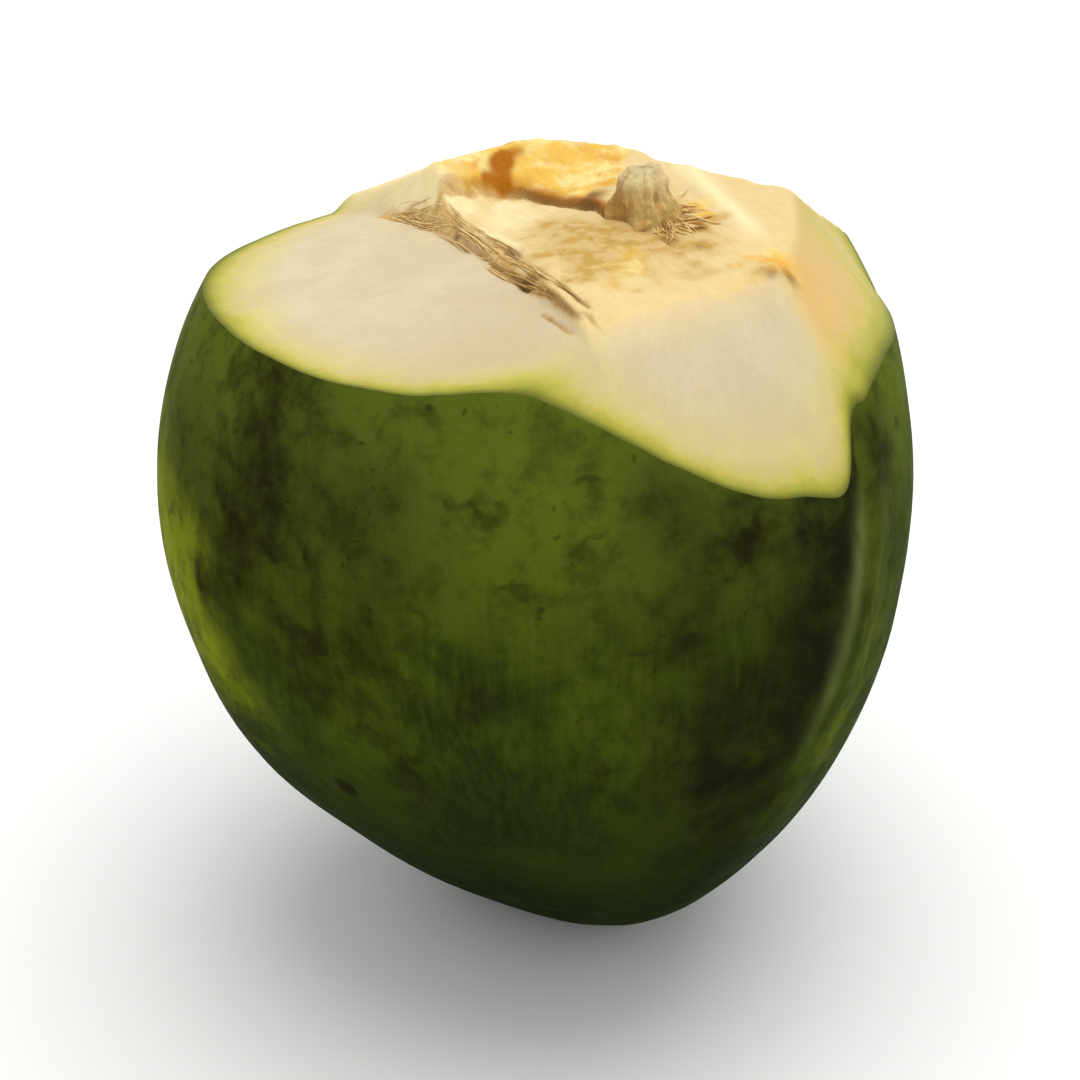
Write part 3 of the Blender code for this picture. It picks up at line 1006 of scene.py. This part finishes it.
def skin_material(colours):
    """Fresh coconut skin, grown: a waxy, satin green rind. Cloudy green from deep to olive, fine streaks from
    stem to tip, yellow sides, brown stains where it rubbed, specks and scratches. Painted light pales it near
    the cuts, painted shade darkens it towards the tip, beside the right ridge and in broad patches, and a
    painted highlight runs along the ridge."""
    m = new_material("waxy_coconut_skin")
    where = add_node(m, "TexCoord")
    drawn_out = add_node(m, "Mapping", {"Vector": where, "Scale": (1.0, 1.0, 0.13)})

    # Clouds a few centimetres across, then streaks and broad bands that run from stem to tip.
    clouds = patches(m, grain(where, 34, 4.0, 0.6, 0.4), 0.36, 0.64)
    colour = coat(m, colours.skin_deep, clouds, colours.skin_olive)
    streaks = patches(m, grain(drawn_out, 1.6, 3.0, 0.6), 0.3, 0.7)
    colour = coat(m, colour, streaks, colours.pale_streaks_and_top_light, 0.18)
    broad = patches(m, grain(drawn_out, 12, 2.0), 0.48, 0.75)
    colour = coat(m, colour, broad, colours.skin_deep, 0.3)

    # Painted light and shade: the skin is paler towards the cuts at the top, where the light from above
    # falls, and darker towards the tip.
    height = add_node(m, "SeparateXYZ", (where,))
    low = add_node(m, "MapRange", (height, 112 * MM, 30 * MM))
    colour = coat(m, colour, low, colours.painted_tip_shade, 0.85)
    high = add_node(m, "MapRange", (height, 110 * MM, 158 * MM))
    colour = coat(m, colour, high, colours.pale_streaks_and_top_light, 0.75)

    uneven = add_node(m, "TexNoise", grain(where, 14, 5.0, 0.6))
    colour = coat(m, colour, ragged_mask(m, "yellow", uneven, 1.2, 0.70, 1.85), colours.skin_yellow)

    cloudy = add_node(m, "TexNoise", grain(where, 8, 5.0, 0.62, 0.15))
    colour = coat(m, colour, add_node(m, "MapRange", (cloudy, 0.46, 0.70)), colours.skin_deep, 0.55)
    broken = patches(m, grain(where, 2.6, 4.0), 0.30, 0.60, 0.78, 1.0)
    stained = add_node(m, "Math", (ragged_mask(m, "stain", cloudy, 0.9, 0.55, 1.30), broken))
    colour = coat(m, colour, stained, colours.stain, 0.85)
    # Painted shade beside the right ridge and in broad patches.
    shaded = masked(m, "shade", add_node(m, "MapRange", (cloudy, 0.25, 0.6, 0.55, 0.92)))
    colour = coat(m, colour, shaded, colours.shade)

    # Scratches are soft crooked lines where a noise crosses its middle, kept only at the scratched places.
    crooked = add_node(m, "TexNoise", grain(where, 10, 2.0, 0.5, 0.2))
    from_line = add_node(m, "Math", (crooked, 0.5), operation="SUBTRACT")
    from_line = add_node(m, "Math", (from_line,), operation="ABSOLUTE")
    line = add_node(m, "MapRange", (from_line, 0.085, 0.010, 0.0, 0.8))
    scratch = add_node(m, "Math", (line, ragged_mask(m, "scratched", cloudy, 0.5, 0.35, 1.05)))
    colour = coat(m, colour, scratch, colours.stain, 0.55)
    specks = patches(m, grain(where, 3.0, 2.0, 0.5), 0.66, 0.76)
    colour = coat(m, colour, specks, colours.stain, 0.5)
    # A painted highlight: a pale line along the right ridge.
    painted_ridge_highlight = masked(m, "painted_ridge_highlight", patches(m, grain(drawn_out, 5), 0.30, 0.62, 0.4, 1.0))
    colour = coat(m, colour, painted_ridge_highlight, colours.ridge_highlight_green, 0.5)

    # The skin's pores are about 0.2 mm wide, too fine to show, so they are drawn at 1.2 mm.
    satin = patches(m, grain(where, 5, 4.0), 0.3, 0.7, 0.42, 0.58)
    pores = add_node(m, "TexNoise", grain(where, 1.2))
    relief = added_up(m, (pores, 0.5), (streaks, 0.35), (scratch, -0.6))
    finish = {
        "Base Color": colour,
        "Roughness": added_up(m, (satin, 1.0), (stained, 0.12)),
        "IOR": 1.42,
        "Specular IOR Level": 0.003,
    }
    return finish_material(m, finish, relief, 0.35, 0.25 * MM)


def husk_material(colours):
    """Freshly cut coconut husk, sliced by a knife: moist, matte, cream flesh of short fibres. It goes from
    green through yellow to cream with depth under the skin, is golden and frayed right of the slash, warms to
    orange by the stalk, and is brown where it tore. Painted light makes it golden behind its crease with the
    front cut and pales its ridge, the slash's lip and the bank; painted shade darkens the left cut by the
    valley and the slash's pits, splits and lower edge."""
    m = new_material("cut_coconut_husk")
    where = add_node(m, "TexCoord")
    rays = add_node(m, "Attribute", output="Vector", attribute_name="grain")

    # The depth, in millimetres, wanders by up to about one, but not right at the rim.
    wander = add_node(m, "TexNoise", grain(where, 5, 4.0, 0.6))
    wander = add_node(m, "Math", (wander, 2.2, -1.1), operation="MULTIPLY_ADD")
    depth = add_node(m, "Attribute", attribute_name="depth")
    inside = add_node(m, "MapRange", (depth, 0.0, 2.4))
    depth = add_node(m, "Math", (wander, inside, depth), operation="MULTIPLY_ADD")
    stops = (
        (0.0, colours.rim_green),
        (0.085, colours.rim_lime),
        (0.20, colours.rim_yellow),
        (0.42, colours.flesh_yellow),
        (1.0, colours.flesh),
    )
    colour = add_node(m, "ValToRGB", (add_node(m, "Math", (depth, 0.1)),), stops=stops)

    # Cut fibres are about 0.3 mm wide, too fine to show, so they are drawn at 0.9 mm, and pores at 0.55 mm.
    off_rim = add_node(m, "MapRange", (depth, 0.4, 3.0, 0.08, 1.0))
    mottle = patches(m, grain(where, 16, 4.0, 0.6, 0.6), 0.38, 0.66)
    colour = coat(m, colour, add_node(m, "Math", (mottle, off_rim)), colours.flesh_grey_and_shade, 0.45)
    fibres = patches(m, grain(rays, 0.9, 4.0, 0.65), 0.32, 0.68)
    colour = coat(m, colour, add_node(m, "Math", (fibres, off_rim)), colours.flesh_grey_and_shade, 0.20)
    pores = patches(m, grain(rays, 0.55, 2.0), 0.66, 0.76)
    colour = coat(m, colour, add_node(m, "Math", (pores, off_rim)), colours.torn_light, 0.30)

    # Painted shade on the left cut by the valley.
    painted_valley_shade = masked(m, "painted_valley_shade", add_node(m, "MapRange", (depth, 1.0, 6.0)))
    colour = coat(m, colour, painted_valley_shade, colours.flesh_grey_and_shade)
    tan = masked(m, "tan", add_node(m, "MapRange", (depth, 1.0, 4.0)))
    colour = coat(m, colour, tan, colours.side_tan)
    inward = add_node(m, "MapRange", (depth, 1.0, 5.5))
    colour = coat(m, colour, masked(m, "golden", inward), colours.golden, 0.85)
    coarse = patches(m, grain(where, 4.0, 4.0), 0.36, 0.68)
    frayed = masked(m, "frayed", add_node(m, "MapRange", (coarse, 0.0, 1.0, 0.55, 1.0)))
    colour = coat(m, colour, frayed, colours.torn_grey)
    # Painted highlights on the ridge, the lip of the slash and the bank.
    colour = coat(m, colour, add_node(m, "Attribute", attribute_name="pale"), colours.painted_highlight_cream, 0.8)

    cloudy = add_node(m, "TexNoise", grain(where, 8, 4.0, 0.6, 0.5))
    warm = add_node(m, "Math", (ragged_mask(m, "warm", cloudy, 0.7, 0.50, 1.25), inward))
    clouds = patches(m, grain(where, 7, 4.0), 0.42, 0.62)
    colour = coat(m, colour, warm, coat(m, colours.crest_yellow, clouds, colours.crest_pale))
    ruddy = add_node(m, "Math", (warm, patches(m, grain(where, 6, 4.0, 0.6), 0.50, 0.66)))
    colour = coat(m, colour, ruddy, colours.crest_orange, 0.55)

    brown = coat(m, colours.torn_light, fibres, colours.torn_brown, 0.7)
    colour = coat(m, colour, ragged_mask(m, "torn", coarse, 0.35, 0.325, 1.125), brown, 0.85)
    colour = coat(m, colour, ragged_mask(m, "hot", cloudy, 0.6, 0.45, 1.2), colours.crest_rust)
    # Dark: painted shade in the slash's pits, splits and lower edge, and the darkest brown of knots and the
    # torn layer's edge.
    dark = add_node(m, "MapRange", (add_node(m, "Attribute", attribute_name="dark"), 0.1, 0.8))
    colour = coat(m, colour, dark, colours.torn_dark, 0.85)

    finish = {
        "Base Color": colour,
        "Roughness": 0.68,
        "IOR": 1.38,
        "Specular IOR Level": 0.2,
        "Subsurface Weight": 0.2,
        "Subsurface Radius": (1.0, 0.7, 0.4),
        "Subsurface Scale": 1.5 * MM,
    }
    fine = add_node(m, "TexNoise", grain(where, 0.8))
    relief = added_up(m, (fibres, 0.6), (masked(m, "rough", coarse), 0.9), (fine, 0.5))
    return finish_material(m, finish, relief, 0.55, 0.35 * MM)


def stub_material(colours):
    """Dried stalk end, torn off: matte, mottled tan fibre, rusty on one side, with a painted highlight on top
    and painted shade in its hollows, on its left and round its foot."""
    m = new_material("torn_stalk_fibre")
    where = add_node(m, "TexCoord")
    rays = add_node(m, "Attribute", output="Vector", attribute_name="grain")
    mottle = patches(m, grain(where, 3.0, 4.0, 0.6, 0.5), 0.42, 0.60)
    colour = coat(m, colours.stalk_grey, mottle, colours.stalk_tan)
    # The stalk's fibres are about 0.3 mm wide, too fine to show, so they are drawn at 0.8 mm.
    streaks = patches(m, grain(rays, 0.8, 4.0, 0.65), 0.32, 0.68)
    colour = coat(m, colour, streaks, colours.torn_light, 0.45)
    rusty = masked(m, "rusty", patches(m, grain(where, 2.4), 0.3, 0.6))
    colour = coat(m, colour, rusty, colours.stalk_rust, 0.9)
    # A painted highlight on top.
    colour = coat(m, colour, add_node(m, "Attribute", attribute_name="pale"), colours.painted_highlight_cream, 0.6)
    uneven = add_node(m, "TexNoise", grain(where, 1.8, 4.0, 0.6))
    # Painted shade in the hollows, on the left and round the foot.
    colour = coat(m, colour, ragged_mask(m, "dark", uneven, 0.7, 0.70, 1.60), colours.torn_brown, 0.6)
    return finish_material(m, {"Base Color": colour, "Roughness": 0.82, "IOR": 1.45}, streaks, 0.8, 0.4 * MM)


def fibre_material(colours):
    """Coir, torn loose: stiff, dry, matte strands, each its own brown from straw to dark. Strands in the
    slash's pits and along its lower edge are darkened further with painted shade.
    """
    m = new_material("torn_coir")
    where = add_node(m, "TexCoord")
    tone = add_node(m, "Math", (add_node(m, "Attribute", attribute_name="tone"), 0.45), operation="SUBTRACT")
    uneven = add_node(m, "TexNoise", grain(where, 3.5, 2.0))
    tone = add_node(m, "Math", (uneven, 0.9, tone), operation="MULTIPLY_ADD")
    stops = (
        (0.0, colours.torn_dark),
        (0.22, colours.torn_brown),
        (0.6, colours.torn_light),
        (1.0, colours.golden),
    )
    colour = add_node(m, "ValToRGB", (tone,), stops=stops)
    spots = patches(m, grain(where, 1.6), 0.4, 0.65)
    colour = coat(m, colour, spots, colours.torn_brown, 0.3)
    fine = add_node(m, "TexNoise", grain(where, 0.4))
    return finish_material(m, {"Base Color": colour, "Roughness": 0.75, "IOR": 1.45}, fine, 0.4, 0.1 * MM)


def floor_material(colours):
    """Studio paper, matte white, with the faintest cloudiness so that it isn't one flat value."""
    m = new_material("studio_paper")
    clouds = add_node(m, "TexNoise", grain(add_node(m, "TexCoord"), 300))
    colour = coat(m, colours.floor, clouds, colours.floor_cloud)
    return finish_material(m, {"Base Color": colour, "Roughness": 0.9})


# Properties, operators and panel -----------------------------------------------------------------------


def count_property(name, description, default, least, most):
    """A whole number that the user can change, from least to most."""
    return bpy.props.IntProperty(name=name, description=description, default=default, min=least, max=most)


def colour_property(name, description, hex_colour):
    """A colour that the user can change, with this sRGB hex value as its default."""
    return bpy.props.FloatVectorProperty(
        name=name, description=description, subtype="COLOR", size=3, min=0, max=1, default=linear(hex_colour)
    )


class CoconutSizes(bpy.types.PropertyGroup):
    columns: count_property("Columns", "How many points each ring of the nut has", 600, 60, 620)
    skin_rows: count_property("Skin rows", "Rings on the green skin, from tip to edge", 60, 12, 60)
    cut_rows: count_property("Cut rows", "Rings on the trimmed top, from edge to middle", 104, 12, 104)
    slash_strands: count_property("Slash strands", "Torn strands along the slash", 130, 1, 300)
    stub_strands: count_property("Stub strands", "Torn strands round the stalk's stub", 80, 1, 300)
    overhead_strength: bpy.props.FloatProperty(
        name="Overhead strength", description="Strength of the soft light from above", default=1.6, min=0
    )
    room_strength: bpy.props.FloatProperty(
        name="Room strength", description="Strength of the even light of the room", default=0.78, min=0
    )
    view_distance: bpy.props.FloatProperty(
        name="View distance", description="From the camera to where it looks", default=0.588, unit="LENGTH"
    )
    view_elevation: bpy.props.FloatProperty(
        name="View elevation",
        description="How far above the horizon the camera stands",
        default=math.radians(30),
        subtype="ANGLE",
    )
    view_height: bpy.props.FloatProperty(
        name="View height", description="How high the camera looks", default=0.09506, unit="LENGTH"
    )
    view_side: bpy.props.FloatProperty(
        name="View side",
        description="How far right of the middle the camera looks",
        default=-0.00788,
        unit="LENGTH",
    )


class CoconutColours(bpy.types.PropertyGroup):
    skin_deep: colour_property("Deep skin", "The darker green of the skin", "#252E0D")
    skin_olive: colour_property("Olive skin", "The main green of the skin", "#3F4C0D")
    # Also the painted light on the skin near the cuts.
    pale_streaks_and_top_light: colour_property("Light skin", "The paler streaks and the skin near the cuts", "#5D6A1F")
    # Painted shade: the dark, bluish green towards the tip.
    painted_tip_shade: colour_property("Low skin", "The bluish dark green towards the tip", "#121D0B")
    skin_yellow: colour_property("Yellow skin", "The yellow-green of the sides", "#7C8614")
    stain: colour_property("Stain", "Brown stains, scratches and specks", "#1F170A")
    # Painted shade beside the right ridge and in broad patches.
    shade: colour_property("Ridge shade", "The dark brown-green beside the right ridge", "#18180E")
    # Painted highlight: the pale line along the right ridge.
    ridge_highlight_green: colour_property("Ridge highlight", "The pale line along the right ridge", "#737A45")
    rim_green: colour_property("Rim green", "The cut edge right under the skin", "#585C19")
    rim_lime: colour_property("Rim lime", "The yellow-green just under the skin", "#A2A038")
    rim_yellow: colour_property("Rim yellow", "The pale yellow below it", "#C2B64E")
    flesh_yellow: colour_property("Yellow flesh", "Husk a few millimetres in", "#D3C47C")
    flesh: colour_property("Flesh", "The cream of the cut husk", "#D6C6A4")
    # Painted highlight: the palest cream, on the ridge, the slash's lip, the bank and the top of the stub.
    painted_highlight_cream: colour_property("Pale flesh", "The palest of it, along the right ridge", "#FAEAB6")
    # Greyer and pinker patches, and also the painted shade on the left cut by the valley.
    flesh_grey_and_shade: colour_property("Flesh shadow", "Its greyer and pinker patches", "#C8B38E")
    side_tan: colour_property("Side tan", "The warmer right cut", "#DEB36E")
    golden: colour_property("Golden flesh", "The yellower husk behind the slash", "#EBD094")
    torn_grey: colour_property("Torn tan", "Rough fibre on it", "#C29B4C")
    crest_pale: colour_property("Pale crest", "Its paler clouds", "#F2D98C")
    crest_yellow: colour_property("Crest yellow", "The warm band along the top", "#EABC52")
    crest_orange: colour_property("Crest orange", "Its orange patches", "#D99A3C")
    crest_rust: colour_property("Crest rust", "Its few rust-red spots", "#AC6600")
    torn_light: colour_property("Light fibre", "Straw-coloured torn fibre", "#E4BD74")
    torn_brown: colour_property("Brown fibre", "Brown torn fibre", "#AC823A")
    # Painted shade in the pits, splits and lower edge of the slash, and the darkest brown of knots and
    # strands.
    torn_dark: colour_property("Dark fibre", "The darkest hollows", "#6A4A20")
    stalk_tan: colour_property("Stalk tan", "The tan of the stalk's stub", "#E2BB70")
    stalk_rust: colour_property("Stalk rust", "The red-brown of its left side", "#B07C36")
    stalk_grey: colour_property("Stalk grey", "The grey of the stalk's stub", "#B99B57")
    floor: colour_property("Floor", "The studio paper", "#F7F7F5")
    floor_cloud: colour_property("Floor cloud", "Its faint cloudiness", "#F2F2F0")


def settle(piece):
    """The piece moves with the nut's body."""
    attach(piece, BODY)


class COCONUT_OT_nut(bpy.types.Operator):
    """Add the coconut: its skin and its trimmed top as one closed surface"""

    bl_idname = "coconut.nut"
    bl_label = "Coconut"

    def execute(self, context):
        colours = context.scene.coconut_colours
        nut = build_nut(context.scene.coconut_sizes, (skin_material(colours), husk_material(colours)))
        settle(nut)
        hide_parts(NODE)
        return {"FINISHED"}


class COCONUT_OT_stub(bpy.types.Operator):
    """Add the stub of the fruit stalk"""

    bl_idname = "coconut.stub"
    bl_label = "Stalk stub"

    def execute(self, context):
        stub = build_stub((stub_material(context.scene.coconut_colours),))
        settle(stub)
        return {"FINISHED"}


class COCONUT_OT_fibres(bpy.types.Operator):
    """Add the torn fibres along the slash and round the stub"""

    bl_idname = "coconut.fibres"
    bl_label = "Torn fibres"

    def execute(self, context):
        material = fibre_material(context.scene.coconut_colours)
        for build in (build_slash_fibres, build_stub_fibres):
            settle(build(context.scene.coconut_sizes, (material,)))
        return {"FINISHED"}


def aimed(data, name, place, aim):
    """An object for a light or the camera, standing at a place and pointing at another."""
    obj = bpy.data.objects.new(name, data)
    obj.location = place
    obj.rotation_euler = (Vector(aim) - Vector(place)).to_track_quat("-Z", "Y").to_euler()
    bpy.context.scene.collection.objects.link(obj)
    return obj


class COCONUT_OT_stage(bpy.types.Operator):
    """Add the plain floor, the soft lights and the camera"""

    bl_idname = "coconut.stage"
    bl_label = "Stage"

    def execute(self, context):
        sizes = context.scene.coconut_sizes
        half_floor = 4.0
        corners = np.array(((-1, -1, 0), (1, -1, 0), (1, 1, 0), (-1, 1, 0))) * half_floor
        paper = floor_material(context.scene.coconut_colours)
        floor = new_mesh_object("floor", corners, (np.array([[0, 1, 2, 3]]),), (paper,))

        overhead = bpy.data.lights.new("overhead_light", "SUN")
        overhead.energy = sizes.overhead_strength
        overhead.angle = OVERHEAD_SPREAD
        aimed(overhead, "overhead_light", OVERHEAD_PLACE, OVERHEAD_AIM)
        world = bpy.data.worlds.new("studio")
        world.use_nodes = True
        background = world.node_tree.nodes["Background"]
        background.inputs["Color"].default_value = (1.0, 1.0, 1.0, 1.0)
        background.inputs["Strength"].default_value = sizes.room_strength
        context.scene.world = world
        context.scene.view_settings.view_transform = "Standard"

        data = bpy.data.cameras.new("camera")
        data.lens = LENS_MM
        data.sensor_width = SENSOR_MM
        aim = Vector((sizes.view_side, 0, sizes.view_height))
        back = Vector((0, -math.cos(sizes.view_elevation), math.sin(sizes.view_elevation)))
        camera = aimed(data, "camera", aim + back * sizes.view_distance, aim)
        context.scene.camera = camera
        return {"FINISHED"}


class COCONUT_PT_panel(bpy.types.Panel):
    bl_idname = "COCONUT_PT_panel"
    bl_label = "Green Coconut"
    bl_space_type = "VIEW_3D"
    bl_region_type = "UI"
    bl_category = "Coconut"

    def draw(self, context):
        layout = self.layout
        for operator in OPERATORS:
            layout.operator(operator.bl_idname)
        for group in (context.scene.coconut_sizes, context.scene.coconut_colours):
            box = layout.box()
            for name in group.bl_rna.properties.keys():
                if name not in ("rna_type", "name"):
                    box.prop(group, name)


OPERATORS = (COCONUT_OT_nut, COCONUT_OT_stub, COCONUT_OT_fibres, COCONUT_OT_stage)
CLASSES = (CoconutSizes, CoconutColours, *OPERATORS, COCONUT_PT_panel)


def register():
    for cls in CLASSES:
        bpy.utils.register_class(cls)
    bpy.types.Scene.coconut_sizes = bpy.props.PointerProperty(type=CoconutSizes)
    bpy.types.Scene.coconut_colours = bpy.props.PointerProperty(type=CoconutColours)


def unregister():
    del bpy.types.Scene.coconut_colours
    del bpy.types.Scene.coconut_sizes
    for cls in reversed(CLASSES):
        bpy.utils.unregister_class(cls)


def main():
    register()
    bpy.ops.coconut.nut()
    bpy.ops.coconut.stub()
    bpy.ops.coconut.fibres()
    bpy.ops.coconut.stage()


if __name__ == "__main__":
    main()
